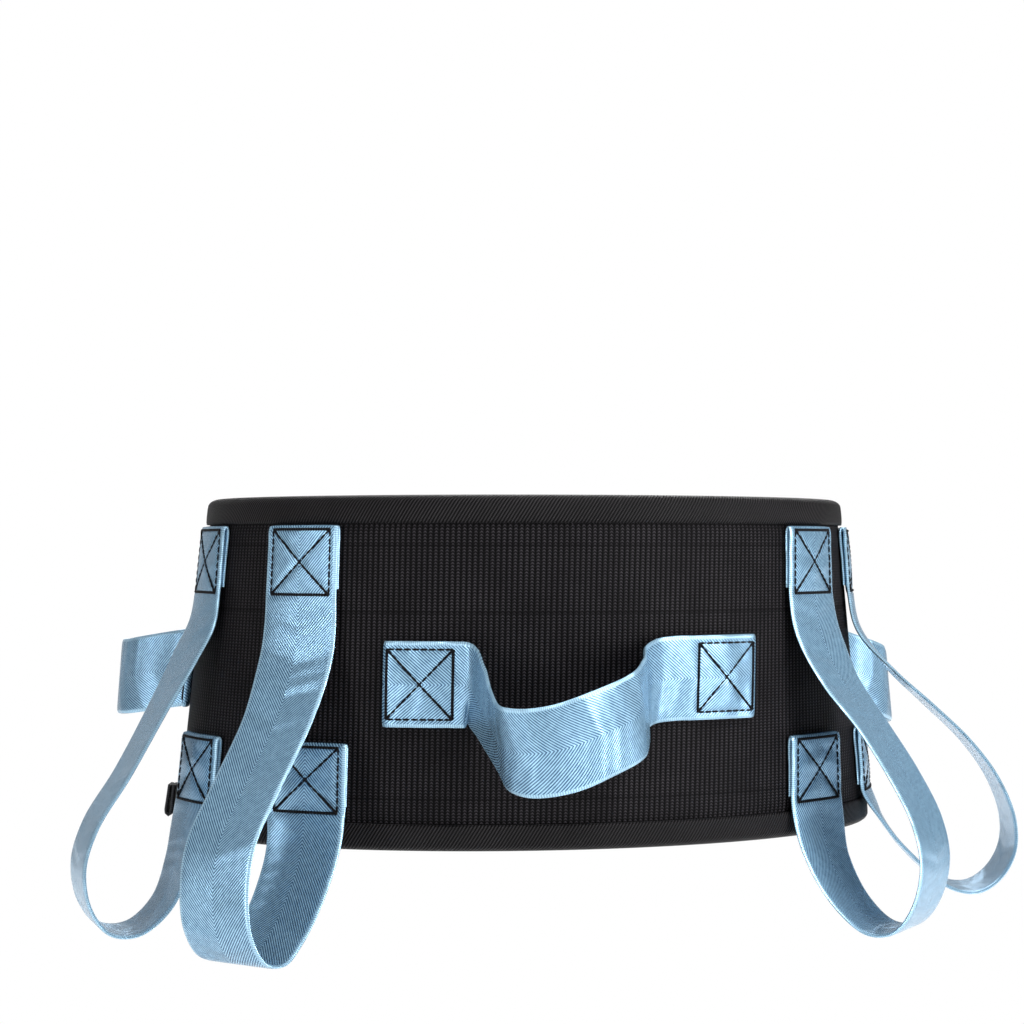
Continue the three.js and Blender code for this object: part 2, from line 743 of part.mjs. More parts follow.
function closureWebbing() {
  const round = turn(FEMALE_BAR_X, TURN_AT_FEMALE, -1);
  webbing("female_tab", [sewnStretch(1), buckleStretch([[39, -3.8], ...round, [40.5, 3.65]])], webbingBlack);
  const straight = [-37, -30, -23, -16].map((x) => [x, -4.6]);
  webbing("closure_strap", [sewnStretch(-1), buckleStretch(straight)], webbingBlack);
  const wrap = turn(MALE_BAR_X, TURN_AT_MALE, 1);
  const lift = [
    [-20, 2.75],
    [-28, 3.8],
    [-35, 5],
    [-43, 5.8],
  ];
  const tail = [-326, -318, -309].map((along) => ({ point: onBelt(along, 0, 6), across: upBelt(along) }));
  const overArm = [buckleStretch([[-23, -2.65], ...wrap, ...lift]), tail];
  webbing("closure_strap_tail", overArm, webbingBlack);
}

// The ring that holds the strap's tail down.
function keeper() {
  const outside = buckleBox(-40, -35, -7, 7.9, -21.6, 21.6);
  const inside = buckleBox(-41, -34, -5.9, 6.7, -20, 20);
  add("strap_keeper", cut(outside, inside), webbingBlack);
}

// A short folded tab of webbing, sewn on just above the lower edge tape and standing over it.
function lowerTab() {
  const [from, to] = [TAB_ALONG - TAB_WIDTH / 2, TAB_ALONG + TAB_WIDTH / 2];
  const foot = block(from, to, -55.6, -49.6, GAP, 3);
  const fold = block(from, to, -62, -49.6, TAPE_OUT + GAP, 5.6);
  add("lower_tab", join(foot, fold), webbingBlack);
}

backPanel();
arm(1, "right");
arm(-1, "left");
UPRIGHT_LOOPS.forEach(uprightLoop);
LEVEL_LOOPS.forEach(levelLoop);
femaleHalf();
maleHalf();
closureWebbing();
keeper();
lowerTab();

export default belt;
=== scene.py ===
# Gait belt: the looks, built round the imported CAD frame. +Z is up and the wearer's back is towards -Y.
# Shapes are worked out in millimetres, as in the CAD part. The scene and its lights are in metres.
import json
import math

import bpy
import numpy as np
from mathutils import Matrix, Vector


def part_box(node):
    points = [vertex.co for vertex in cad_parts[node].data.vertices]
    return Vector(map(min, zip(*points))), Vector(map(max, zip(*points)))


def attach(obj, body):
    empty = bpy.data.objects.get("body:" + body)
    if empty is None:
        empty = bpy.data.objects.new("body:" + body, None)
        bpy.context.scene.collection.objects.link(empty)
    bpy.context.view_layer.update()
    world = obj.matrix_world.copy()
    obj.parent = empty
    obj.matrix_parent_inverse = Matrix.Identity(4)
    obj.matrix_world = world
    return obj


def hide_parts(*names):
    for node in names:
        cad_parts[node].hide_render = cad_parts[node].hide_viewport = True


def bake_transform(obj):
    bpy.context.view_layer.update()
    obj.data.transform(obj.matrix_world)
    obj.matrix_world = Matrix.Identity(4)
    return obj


MM = 0.001

# ---- The belt's shape, as in the CAD part --------------------------------------------------------

BELT_HEIGHT = 133
TOP_HALF_WIDTH = 130
TOP_HALF_DEPTH = 109.5
BOTTOM_HALF_WIDTH = 144
BOTTOM_HALF_DEPTH = 93
ARM_END = 331
END_CORNER = 14
PANEL_HALF = 65.05
LINER_IN = -6.5
BINDING_REACH = 9

STRAP_WIDTH = 32
STRAP_THICK = 1.6
PATCH_LENGTH = 28
STITCH_ACROSS = 26  # a sewn box, across its strap
STITCH_ALONG = 24.5
UNDER_SEAT = 1.15  # middle of the folded-under layer, out from the belt
TOP_SEAT = 2.75  # middle of the strap over it
PATCH_TOP = 3.55
TURNED_BY = 20  # how far out from the belt a loop's plane has turned fully
HELD_WITHIN = 20  # how far out from the belt a strap still follows its flare
UPPER_PATCH_Z = 41.5
LOWER_PATCH_Z = -40
BELT_SEAMS = (47.8, 23, -46.7)  # heights of the faint level seams across the belt
CLOSURE_WIDTH = 38
BUCKLE_Y = 95.5  # the buckle's middle plane
TAB_WIDTH = 12

# The camera, in metres and degrees, on a level circle round the belt's middle.
LENS = 75.1
SENSOR = 36
CAMERA_DISTANCE, CAMERA_HEIGHT = 0.891, 0.047
CAMERA_TURN = 10.8  # round from straight behind the wearer
CAMERA_PAN, CAMERA_TILT = -0.39, 0.946

# ---- Frame and camera ----------------------------------------------------------------------------

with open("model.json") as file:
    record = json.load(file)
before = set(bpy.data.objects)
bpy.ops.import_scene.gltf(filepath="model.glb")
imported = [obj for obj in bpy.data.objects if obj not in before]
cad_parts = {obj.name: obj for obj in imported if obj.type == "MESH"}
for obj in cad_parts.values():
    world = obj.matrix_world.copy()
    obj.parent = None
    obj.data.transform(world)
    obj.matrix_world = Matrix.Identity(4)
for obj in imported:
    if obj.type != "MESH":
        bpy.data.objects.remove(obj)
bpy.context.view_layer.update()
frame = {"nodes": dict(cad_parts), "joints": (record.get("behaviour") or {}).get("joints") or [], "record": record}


def make_camera():
    data = bpy.data.cameras.new("camera")
    data.lens = LENS
    data.sensor_width = SENSOR
    camera = bpy.data.objects.new("camera", data)
    bpy.context.scene.collection.objects.link(camera)
    turn = math.radians(CAMERA_TURN)
    camera.location = (-CAMERA_DISTANCE * math.sin(turn), -CAMERA_DISTANCE * math.cos(turn), CAMERA_HEIGHT)
    heading = turn + math.radians(CAMERA_PAN)
    aim = Vector((math.sin(heading), math.cos(heading), math.tan(math.radians(CAMERA_TILT))))
    camera.rotation_euler = aim.to_track_quat("-Z", "Y").to_euler()
    bpy.context.scene.camera = camera


make_camera()

# ---- Places on the belt --------------------------------------------------------------------------


def ellipse(half_width, half_depth):
    angle = np.linspace(0, 2 * np.pi, 4001)
    points = np.stack([half_width * np.sin(angle), -half_depth * np.cos(angle)], 1)
    steps = np.linalg.norm(np.diff(points, axis=0), axis=1)
    length = np.concatenate([[0], np.cumsum(steps)])
    return {"half": (half_width, half_depth), "angle": angle, "length": length}


TOP_EDGE = ellipse(TOP_HALF_WIDTH, TOP_HALF_DEPTH)
BOTTOM_EDGE = ellipse(BOTTOM_HALF_WIDTH, BOTTOM_HALF_DEPTH)
BELT_LENGTH = (TOP_EDGE["length"][-1] + BOTTOM_EDGE["length"][-1]) / 2


def edge_place(edge, share):
    """Points and tangents of an edge at shares of its length."""
    length = (share % 1) * edge["length"][-1]
    angle = np.interp(length, edge["length"], edge["angle"])
    a, b = edge["half"]
    point = np.stack([a * np.sin(angle), -b * np.cos(angle)], -1)
    tangent = np.stack([a * np.cos(angle), b * np.sin(angle)], -1)
    return point, tangent / np.linalg.norm(tangent, axis=-1, keepdims=True)


def on_belt(along, z, out):
    """Points in mm at distances along the belt, heights, and distances out from its face."""
    along, z, out = np.broadcast_arrays(*(np.asarray(v, float) for v in (along, z, out)))
    low, low_tangent = edge_place(BOTTOM_EDGE, along / BELT_LENGTH)
    high, high_tangent = edge_place(TOP_EDGE, along / BELT_LENGTH)
    rise = ((z + BELT_HEIGHT / 2) / BELT_HEIGHT)[..., None]
    point = low + (high - low) * rise
    tangent = low_tangent + (high_tangent - low_tangent) * rise
    tangent = tangent / np.linalg.norm(tangent, axis=-1, keepdims=True)
    x = point[..., 0] + tangent[..., 1] * out
    y = point[..., 1] - tangent[..., 0] * out
    return np.stack([x, y, z], -1)


def unit(v):
    return v / np.linalg.norm(v, axis=-1, keepdims=True)


def along_belt(along, z=0.0):
    return unit(on_belt(np.asarray(along) + 0.5, z, 0) - on_belt(np.asarray(along) - 0.5, z, 0))


def up_belt(along):
    return unit(on_belt(along, 1, 0) - on_belt(along, -1, 0))


# ---- Meshes --------------------------------------------------------------------------------------


def make_object(name, points, faces, uvs, materials, face_material=None, flat=0):
    """A mesh object from points in mm. uvs holds one (u, v) in metres for each face corner.
    The last few faces, as many as flat says, are flat ends that don't soften their edges."""
    mesh = bpy.data.meshes.new(name)
    mesh.from_pydata((np.asarray(points) * MM).tolist(), [], faces)
    layer = mesh.uv_layers.new(name="cloth")
    layer.data.foreach_set("uv", np.asarray(uvs, np.float32).ravel())
    for material in materials:
        mesh.materials.append(material)
    if face_material is not None:
        mesh.polygons.foreach_set("material_index", np.asarray(face_material, np.int32))
    mesh.polygons.foreach_set("use_smooth", [i < len(faces) - flat for i in range(len(faces))])
    mesh.update()
    piece = bpy.data.objects.new(name, mesh)
    bpy.context.scene.collection.objects.link(piece)
    return piece


def tube(name, grid, uv, materials, ring_material=None):
    """A closed sweep. grid is rings x points x 3 in mm; uv is rings x (points + 1) x 2 in mm."""
    rings, count = grid.shape[:2]
    faces, corners, chosen = [], [], []
    for i in range(rings - 1):
        for j in range(count):
            k = (j + 1) % count
            faces.append((i * count + j, i * count + k, (i + 1) * count + k, (i + 1) * count + j))
            corners += [uv[i, j], uv[i, j + 1], uv[i + 1, j + 1], uv[i + 1, j]]
            chosen.append(0 if ring_material is None else ring_material[j])
    for i, order in ((0, -1), (rings - 1, 1)):
        ring = list(range(count))[::order]
        faces.append([i * count + j for j in ring])
        corners += [uv[i, j] for j in ring]
        chosen.append(0)
    uvs = np.asarray(corners) * MM
    return make_object(name, grid.reshape(-1, 3), faces, uvs, materials, chosen, flat=2)


# ---- Materials -----------------------------------------------------------------------------------


class Nodes:
    """A small helper for writing shader node formulas."""

    def __init__(self, name, **constants):
        self.material = bpy.data.materials.new(name)
        self.material.use_nodes = True
        self.tree = self.material.node_tree
        self.shader = self.tree.nodes["Principled BSDF"]
        for socket, value in constants.items():
            self.shader.inputs[socket.replace("_", " ")].default_value = value
        texture = self.tree.nodes.new("ShaderNodeUVMap")
        texture.uv_map = "cloth"
        split = self.tree.nodes.new("ShaderNodeSeparateXYZ")
        self.tree.links.new(texture.outputs["UV"], split.inputs[0])
        self.uv = texture.outputs["UV"]
        self.u = self.math("MULTIPLY", split.outputs[0], 1000)
        self.v = self.math("MULTIPLY", split.outputs[1], 1000)

    def feed(self, socket, value):
        if isinstance(value, bpy.types.NodeSocket):
            self.tree.links.new(value, socket)
        else:
            socket.default_value = value

    def math(self, operation, *values):
        node = self.tree.nodes.new("ShaderNodeMath")
        node.operation = operation
        for socket, value in zip(node.inputs, values):
            self.feed(socket, value)
        return node.outputs[0]

    def wave(self, value, pitch):
        """A rounded ridge for each pitch: 1 on the ridge, 0 in the groove."""
        turn = self.math("MULTIPLY", value, 2 * math.pi / pitch)
        return self.math("MULTIPLY_ADD", self.math("COSINE", turn), 0.5, 0.5)

    def noise(self, scale, detail=2.0, vector=None):
        node = self.tree.nodes.new("ShaderNodeTexNoise")
        node.inputs["Scale"].default_value = scale
        node.inputs["Detail"].default_value = detail
        self.tree.links.new(vector or self.uv, node.inputs["Vector"])
        return node.outputs["Fac"]

    def vector(self, x, y):
        node = self.tree.nodes.new("ShaderNodeCombineXYZ")
        self.tree.links.new(x, node.inputs[0])
        self.tree.links.new(y, node.inputs[1])
        return node.outputs[0]

    def blend_colour(self, share, low, high):
        node = self.tree.nodes.new("ShaderNodeMix")
        node.data_type = "RGBA"
        self.feed(node.inputs[0], share)
        self.feed(node.inputs[6], low if isinstance(low, bpy.types.NodeSocket) else (*low, 1))
        self.feed(node.inputs[7], high if isinstance(high, bpy.types.NodeSocket) else (*high, 1))
        return node.outputs[2]

    def blend_value(self, share, low, high):
        node = self.tree.nodes.new("ShaderNodeMix")
        self.feed(node.inputs[0], share)
        self.feed(node.inputs[2], low)
        self.feed(node.inputs[3], high)
        return node.outputs[0]

    def bump(self, height, depth_mm, strength=1.0):
        node = self.tree.nodes.new("ShaderNodeBump")
        node.inputs["Strength"].default_value = strength
        node.inputs["Distance"].default_value = depth_mm * MM
        self.tree.links.new(height, node.inputs["Height"])
        self.tree.links.new(node.outputs[0], self.shader.inputs["Normal"])

    def colour(self, value):
        self.tree.links.new(value, self.shader.inputs["Base Color"])

    def roughness(self, value):
        self.tree.links.new(value, self.shader.inputs["Roughness"])


def belt_cloth():
    """Heavy black webbing cloth: upright columns of small slanting knots, with faint level seams."""
    n = Nodes("belt_cloth", Roughness=0.55, Specular_IOR_Level=0.06)
    column = n.math("FRACT", n.math("DIVIDE", n.u, 2.1))
    slant = n.math("ABSOLUTE", n.math("SUBTRACT", column, 0.5))
    knots = n.wave(n.math("MULTIPLY_ADD", slant, 1.5, n.v), 1.15)
    ridge = n.math("SUBTRACT", 1.0, n.math("POWER", n.math("MULTIPLY", slant, 2.0), 2.0))
    height = n.math("MULTIPLY", ridge, n.math("MULTIPLY_ADD", knots, 0.65, 0.35))
    for seam in BELT_SEAMS:
        away = n.math("ABSOLUTE", n.math("SUBTRACT", n.v, seam))
        groove = n.math("MAXIMUM", n.math("SUBTRACT", 1.0, n.math("DIVIDE", away, 0.8)), 0.0)
        height = n.math("MULTIPLY", height, n.math("MULTIPLY_ADD", groove, -0.3, 1.0))
    cloud = n.noise(60, 3)
    # Painted light: the knot tops are lighter as a painted highlight, and the grooves between them and along the
    # level seams are darker as painted shade. The cloud varies the tone at random.
    painted_light_and_mottle = n.math("MULTIPLY", n.math("POWER", height, 2.6), n.math("MULTIPLY_ADD", cloud, 1.4, 0.4))
    n.colour(n.blend_colour(painted_light_and_mottle, (0.0003, 0.0003, 0.0005), (0.033, 0.030, 0.034)))
    n.bump(height, 0.22)
    return n.material


def binding_cloth():
    """Edge tape: fine slanting twill ridges."""
    n = Nodes("binding_cloth", Roughness=0.45, Specular_IOR_Level=0.08)
    slant = n.math("MULTIPLY_ADD", n.v, -0.6, n.u)
    ridge = n.wave(slant, 1.3)
    thread = n.wave(n.math("MULTIPLY_ADD", n.u, 0.5, n.v), 0.7)
    height = n.math("MULTIPLY_ADD", thread, 0.25, ridge)
    # Painted light: the ridge tops are lighter as a painted highlight, and the grooves are darker as painted
    # shade. The noise varies the tone at random.
    painted_light_and_mottle = n.math("MULTIPLY", n.math("POWER", height, 2.4), n.math("MULTIPLY_ADD", n.noise(45, 3), 0.6, 0.4))
    n.colour(n.blend_colour(painted_light_and_mottle, (0.0003, 0.0003, 0.0004), (0.026, 0.024, 0.026)))
    n.bump(height, 0.2)
    return n.material


def liner_cloth():
    """Black spacer mesh: small round openings in rows."""
    n = Nodes("liner_cloth", Roughness=0.85, Sheen_Weight=0.05, Specular_IOR_Level=0.2)
    pitch = 2.4
    height = n.math("MAXIMUM", n.wave(n.u, pitch), n.wave(n.v, pitch))
    n.colour(n.blend_colour(height, (0.0015, 0.0015, 0.002), (0.014, 0.014, 0.016)))
    n.bump(height, 0.35)
    return n.material


def webbing(name, low, high, edge, roughness, width=STRAP_WIDTH, satin=0.0):
    """Herringbone webbing: ribs slant away from the middle line on both sides, with plain selvages."""
    n = Nodes(name, Roughness=roughness, Metallic=satin, Specular_IOR_Level=0.15 + satin / 2)
    side = n.math("ABSOLUTE", n.v)
    slant = n.math("MULTIPLY_ADD", side, 1.15, n.u)
    ribs = n.wave(slant, 1.35)
    cross = n.wave(n.math("MULTIPLY_ADD", side, -0.9, n.u), 0.62)
    weave = n.math("MULTIPLY_ADD", cross, 0.2, n.math("MULTIPLY", ribs, 0.8))
    selvage = n.math("MULTIPLY", n.math("SUBTRACT", side, width / 2 - 1.6), 2.0)
    selvage = n.math("MINIMUM", n.math("MAXIMUM", selvage, 0.0), 1.0)
    edging = n.wave(n.u, 0.8)
    height = n.blend_value(selvage, weave, edging)
    streak = n.noise(420, 2)
    # Painted light: the ribs are lighter as a painted highlight, and the gaps between them are darker as painted
    # shade. The streaks vary the tone at random.
    painted_light_and_mottle = n.math("MULTIPLY_ADD", streak, 0.45, n.math("MULTIPLY_ADD", height, 1.15, -0.3))
    body = n.blend_colour(painted_light_and_mottle, low, high)
    n.colour(n.blend_colour(n.math("MULTIPLY", selvage, 0.55), body, edge))
    # The strap ripples a little along its length, which shows as bands of sheen across it.
    run = n.math("MULTIPLY_ADD", side, 0.3, n.u)
    ripple = n.noise(0.085, 1, n.vector(run, n.math("MULTIPLY", n.v, 0.15)))
    n.bump(n.math("MULTIPLY_ADD", ripple, 45 if satin else 0.0, height), 0.07)
    return n.material


def thread(name, colour):
    n = Nodes(name, Roughness=0.5, Specular_IOR_Level=0.12)
    twist = n.wave(n.math("MULTIPLY_ADD", n.v, 0.8, n.u), 0.5)
    n.colour(n.blend_colour(twist, tuple(c * 0.4 for c in colour), colour))
    n.bump(twist, 0.05)
    return n.material


def plastic():
    """Moulded black plastic with a fine spark-eroded grain."""
    material = bpy.data.materials.new("buckle_plastic")
    material.use_nodes = True
    tree = material.node_tree
    shader = tree.nodes["Principled BSDF"]
    shader.inputs["Roughness"].default_value = 0.38
    shader.inputs["Specular IOR Level"].default_value = 0.35
    place = tree.nodes.new("ShaderNodeTexCoord")
    grain = tree.nodes.new("ShaderNodeTexNoise")
    grain.inputs["Scale"].default_value = 3200
    tree.links.new(place.outputs["Object"], grain.inputs["Vector"])
    wear = tree.nodes.new("ShaderNodeTexNoise")
    wear.inputs["Scale"].default_value = 140
    tree.links.new(place.outputs["Object"], wear.inputs["Vector"])
    colour = tree.nodes.new("ShaderNodeMix")
    colour.data_type = "RGBA"
    colour.inputs[6].default_value = (0.004, 0.004, 0.0045, 1)
    colour.inputs[7].default_value = (0.009, 0.009, 0.01, 1)
    tree.links.new(wear.outputs["Fac"], colour.inputs[0])
    tree.links.new(colour.outputs[2], shader.inputs["Base Color"])
    bump = tree.nodes.new("ShaderNodeBump")
    bump.inputs["Distance"].default_value = 0.00006
    tree.links.new(grain.outputs["Fac"], bump.inputs["Height"])
    tree.links.new(bump.outputs[0], shader.inputs["Normal"])
    return material


BELT_CLOTH = belt_cloth()
BINDING_CLOTH = binding_cloth()
LINER_CLOTH = liner_cloth()
# In each webbing below, low is the painted shade between the ribs and high is the painted highlight on them.
BLUE_WEBBING = webbing(
    "blue_webbing",
    low=(0.010, 0.055, 0.14),
    high=(0.39, 0.65, 0.85),
    edge=(0.44, 0.68, 0.85),
    roughness=0.27,
    satin=0.55,
)
BLACK_WEBBING = webbing(
    "black_webbing",
    low=(0.0006, 0.0006, 0.0009),
    high=(0.018, 0.017, 0.019),
    edge=(0.012, 0.012, 0.014),
    roughness=0.5,
    width=CLOSURE_WIDTH,
)
GREY_WEBBING = webbing(
    "grey_webbing",
    low=(0.012, 0.012, 0.014),
    high=(0.06, 0.06, 0.064),
    edge=(0.06, 0.06, 0.065),
    roughness=0.6,
    width=TAB_WIDTH,
)
BLACK_THREAD = thread("black_thread", (0.002, 0.002, 0.004))
BUCKLE_PLASTIC = plastic()

# ---- Belt panels and bindings --------------------------------------------------------------------


def half_height(along):
    into = np.maximum(0, np.abs(along) - (ARM_END - END_CORNER))
    return PANEL_HALF - END_CORNER + np.sqrt(np.maximum(0, END_CORNER**2 - into**2))


def panel(side, name):
    """One half of the padded belt, from the middle of the back to an arm's end."""
    corner = ARM_END - END_CORNER + END_CORNER * np.sin(np.linspace(0, np.pi / 2, 9)[1:])
    along = side * np.concatenate([[0], np.linspace(0.1, ARM_END - END_CORNER, 160), corner])
    rows = np.linspace(1, -1, 67)
    half = half_height(along)[:, None]
    z = half * rows
    # The face sinks a little along the stitched edge of the tape and is slightly full between.
    from_edge = half - np.abs(z)
    sink = -0.5 * np.exp(-(((from_edge - BINDING_REACH) / 2.2) ** 2))
    outer = on_belt(along[:, None], z, sink)
    inner_rows = rows[::-1]
    inner = on_belt(along[:, None], half * inner_rows, LINER_IN - sink[:, ::-1])
    grid = np.concatenate([outer, inner], 1)
    count = len(rows)
    uv = np.zeros((len(along), 2 * count + 1, 2))
    uv[..., 0] = along[:, None]
    uv[:, :count, 1] = half * rows
    uv[:, count : 2 * count, 1] = half * inner_rows
    uv[:, -1, 1] = half[:, 0]
    lined = [0] * (count - 1) + [1] * (count + 1)
    if side > 0:
        grid, uv = grid[::-1], uv[::-1]
    return tube(name, grid, uv, [BELT_CLOTH, LINER_CLOTH], lined)


def tape_section():
    """The tape's section as [inward from the panel's edge, out]: outside, round the edge, and the lining."""
    outer_face, inner_face = 1.35, LINER_IN - 1.35
    middle = (outer_face + inner_face) / 2
    reach = (outer_face - inner_face) / 2
    points = [(BINDING_REACH, outer_face - 0.35), (BINDING_REACH - 1.2, outer_face - 0.1)]
    points += [(6, outer_face), (3.2, outer_face)]
    for angle in np.linspace(0.25, np.pi - 0.25, 13):
        points.append((2.4 - 3.75 * math.sin(angle) ** 0.8, middle + reach * math.cos(angle)))
    points += [(3.2, inner_face), (6, inner_face)]
    points += [(BINDING_REACH - 1.2, inner_face + 0.1), (BINDING_REACH, inner_face + 0.35)]
    outside = np.array(points)
    centre = np.array([5.0, middle])
    inside = outside + unit(centre - outside) * 0.9
    inside[0], inside[-1] = (BINDING_REACH, outer_face - 1.25), (BINDING_REACH, inner_face + 1.25)
    return np.concatenate([outside, inside[::-1]]), len(outside)


def binding_route(side):
    """[along, z, inward along, inward z] and the distance run, for the tape of one half of the belt."""
    straight = [(a, PANEL_HALF, 0, -1) for a in [0, *np.linspace(0.1, ARM_END - END_CORNER, 150)]]
    centre, level = ARM_END - END_CORNER, PANEL_HALF - END_CORNER
    turn = []
    for angle in np.linspace(np.pi / 2, 0, 14)[1:]:
        c, s = math.cos(angle), math.sin(angle)
        turn.append((centre + END_CORNER * c, level + END_CORNER * s, -c, -s))
    end = [(ARM_END, z, -1, 0) for z in np.linspace(level, -level, 40)[1:-1]]
    lower = [(a, -z, i, -j) for a, z, i, j in reversed(straight + turn)]
    route = np.array(straight + turn + end + lower)
    route[:, 0] *= side
    route[:, 2] *= side
    steps = np.linalg.norm(np.diff(route[:, :2], axis=0), axis=1)
    return route, np.concatenate([[0], np.cumsum(steps)])


def binding(side, name):
    route, run = binding_route(side)
    section, count = tape_section()
    along = route[:, None, 0] + route[:, None, 2] * section[:, 0]
    z = route[:, None, 1] + route[:, None, 3] * section[:, 0]
    grid = on_belt(along, z, section[:, 1][None])
    girth = np.concatenate([[0], np.cumsum(np.linalg.norm(np.diff(section, axis=0), axis=1)), [0]])
    uv = np.zeros((len(route), len(section) + 1, 2))
    uv[..., 0] = side * run[:, None]
    uv[..., 1] = girth
    if side < 0:
        grid, uv = grid[::-1], uv[::-1]
    return tube(name, grid, uv, [BINDING_CLOTH])


# ---- Thread --------------------------------------------------------------------------------------

STITCH_SIDES = 6


def stitch_mesh(name, stitches, material):
    """stitches is a list of (start, end, up, radius) in mm: each becomes one short bowed length of thread."""
    points, faces, uvs = [], [], []
    # Along the stitch, thickness, and lift: it dives into the cloth at both ends.
    profile = [(-1.0, 0.35, -0.9), (-0.8, 0.85, -0.35), (-0.3, 1, 0)]
    profile += [(0.3, 1, 0), (0.8, 0.85, -0.35), (1.0, 0.35, -0.9)]
    for start, end, up, radius in stitches:
        base = len(points)
        middle, half = (start + end) / 2, (end - start) / 2
        side = unit(np.cross(half, up))
        for along, size, lift in profile:
            centre = middle + half * along + up * lift * radius
            for k in range(STITCH_SIDES):
                angle = 2 * math.pi * k / STITCH_SIDES
                offset = side * math.cos(angle) + up * math.sin(angle)
                points.append(centre + offset * radius * size)
        length = 2 * np.linalg.norm(half)
        for i in range(len(profile) - 1):
            for k in range(STITCH_SIDES):
                j = (k + 1) % STITCH_SIDES
                a = base + i * STITCH_SIDES
                b = a + STITCH_SIDES
                faces.append((a + k, a + j, b + j, b + k))
                low, high = i / 5 * length, (i + 1) / 5 * length
                uvs += [(low, k), (low, k + 1), (high, k + 1), (high, k)]
        last = base + (len(profile) - 1) * STITCH_SIDES
        faces.append([base + k for k in range(STITCH_SIDES)][::-1])
        faces.append([last + k for k in range(STITCH_SIDES)])
        uvs += [(0, 0)] * (2 * STITCH_SIDES)
    return make_object(name, points, faces, np.asarray(uvs, float) * MM, [material])


def run_of_stitches(place, start, end, length, gap, radius, lift):
    """Stitches from start to end, both [along, z]. place(along, z, out) gives points in mm."""
    start, end = np.array(start, float), np.array(end, float)
    whole = np.linalg.norm(end - start)
    count = max(1, round(whole / (length + gap)))
    share = gap / (length + gap) / 2
    made = []
    for i in range(count):
        a = start + (end - start) * (i + share) / count
        b = start + (end - start) * (i + 1 - share) / count
        p, q = place(a[0], a[1], lift), place(b[0], b[1], lift)
        up = unit(place(a[0], a[1], lift + 1) - p)
        made.append((p, q, up, radius))
    return made


def box_of_stitches(along, z, along_size, z_size, upright):
    """A sewn box with two diagonals. The bars across the strap are close and thick; the others are dashed."""
    w, h = along_size / 2, z_size / 2
    corners = [(along - w, z - h), (along + w, z - h), (along + w, z + h), (along - w, z + h)]
    lift = PATCH_TOP - 0.22
    made = []
    for i in range(4):
        across = (i % 2 == 0) == upright
        if across:
            made += run_of_stitches(on_belt, corners[i], corners[(i + 1) % 4], 1.6, -0.5, 0.57, lift)
        else:
            made += run_of_stitches(on_belt, corners[i], corners[(i + 1) % 4], 2.8, 0.3, 0.4, lift)
    made += run_of_stitches(on_belt, corners[0], corners[2], 3.0, -0.3, 0.48, lift)
    made += run_of_stitches(on_belt, corners[3], corners[1], 3.0, -0.3, 0.48, lift + 0.15)
    return made


# ---- Straps --------------------------------------------------------------------------------------

STEP = 1.3  # along a strap between two rings of points
ACROSS = np.concatenate([[-1, -0.985], np.linspace(-0.94, 0.94, 31), [0.985, 1]])


def smooth_route(values, route):
    """Centripetal Catmull-Rom through the rows of values, with knots from route's first three columns."""
    chord = np.sqrt(np.linalg.norm(np.diff(route, axis=0), axis=1))
    knots = np.concatenate([[0], np.cumsum(chord)])
    slopes = np.zeros_like(values)
    h = np.diff(knots)[:, None]
    d = np.diff(values, axis=0) / h
    slopes[1:-1] = (d[:-1] * h[1:] + d[1:] * h[:-1]) / (h[:-1] + h[1:])
    slopes[0], slopes[-1] = d[0], d[-1]
    t = np.linspace(0, knots[-1], 4000)
    i = np.clip(np.searchsorted(knots, t, "right") - 1, 0, len(h) - 1)
    s = ((t - knots[i]) / h[i, 0])[:, None]
    a, b = values[i], values[i + 1]
    ma, mb = slopes[i] * h[i], slopes[i + 1] * h[i]
    first = (2 * s**3 - 3 * s**2 + 1) * a + (s**3 - 2 * s**2 + s) * ma
    return first + (3 * s**2 - 2 * s**3) * b + (s**3 - s**2) * mb


def even_steps(dense, step):
    length = np.concatenate([[0], np.cumsum(np.linalg.norm(np.diff(dense[:, :3], axis=0), axis=1))])
    wanted = np.linspace(0, length[-1], max(2, round(length[-1] / step)) + 1)
    even = np.stack([np.interp(wanted, length, column) for column in dense.T], 1)
    return even, wanted


def strap(name, centres, wides, material, width=STRAP_WIDTH, thick=STRAP_THICK, extra=None, sewn=None):
    """A flat strap. extra holds more columns that follow the route, and sewn moves its middle surface."""
    columns = [centres, wides] if extra is None else [centres, wides, extra]
    dense = smooth_route(np.concatenate(columns, 1), centres)
    even, run = even_steps(dense, STEP)
    centre, wide, more = even[:, :3], even[:, 3:6], even[:, 6:]
    ahead = unit(np.gradient(centre, axis=0))
    wide = unit(wide - ahead * np.sum(wide * ahead, 1, keepdims=True))
    deep = np.cross(ahead, wide)
    edge = np.sqrt(1 - np.abs(ACROSS) ** 14)
    w = np.concatenate([ACROSS, ACROSS[::-1]]) * width / 2
    d = np.concatenate([-edge, edge[::-1]]) * thick / 2
    middle = centre[:, None] + wide[:, None] * w[None, :, None]
    if sewn is not None:
        middle = sewn(middle, w, more)
    grid = middle + deep[:, None] * d[None, :, None]
    uv = np.zeros((len(centre), len(w) + 1, 2))
    uv[..., 0] = run[:, None]
    uv[:, :-1, 1] = w
    uv[:, -1, 1] = w[0]
    return tube(name, grid, uv, [material])


def box_distance(across, along):
    """Distance from the sewn lines of a patch, with along measured from the patch's middle."""
    w, h = STITCH_ACROSS / 2, STITCH_ALONG / 2
    lines = [((-w, -h), (w, -h)), ((w, -h), (w, h)), ((w, h), (-w, h)), ((-w, h), (-w, -h))]
    lines += [((-w, -h), (w, h)), ((-w, h), (w, -h))]
    best = np.full(across.shape, 99.0)
    for (x0, y0), (x1, y1) in lines:
        length2 = (x1 - x0) ** 2 + (y1 - y0) ** 2
        t = np.clip(((across - x0) * (x1 - x0) + (along - y0) * (y1 - y0)) / length2, 0, 1)
        best = np.minimum(best, np.hypot(across - x0 - t * (x1 - x0), along - y0 - t * (y1 - y0)))
    return best


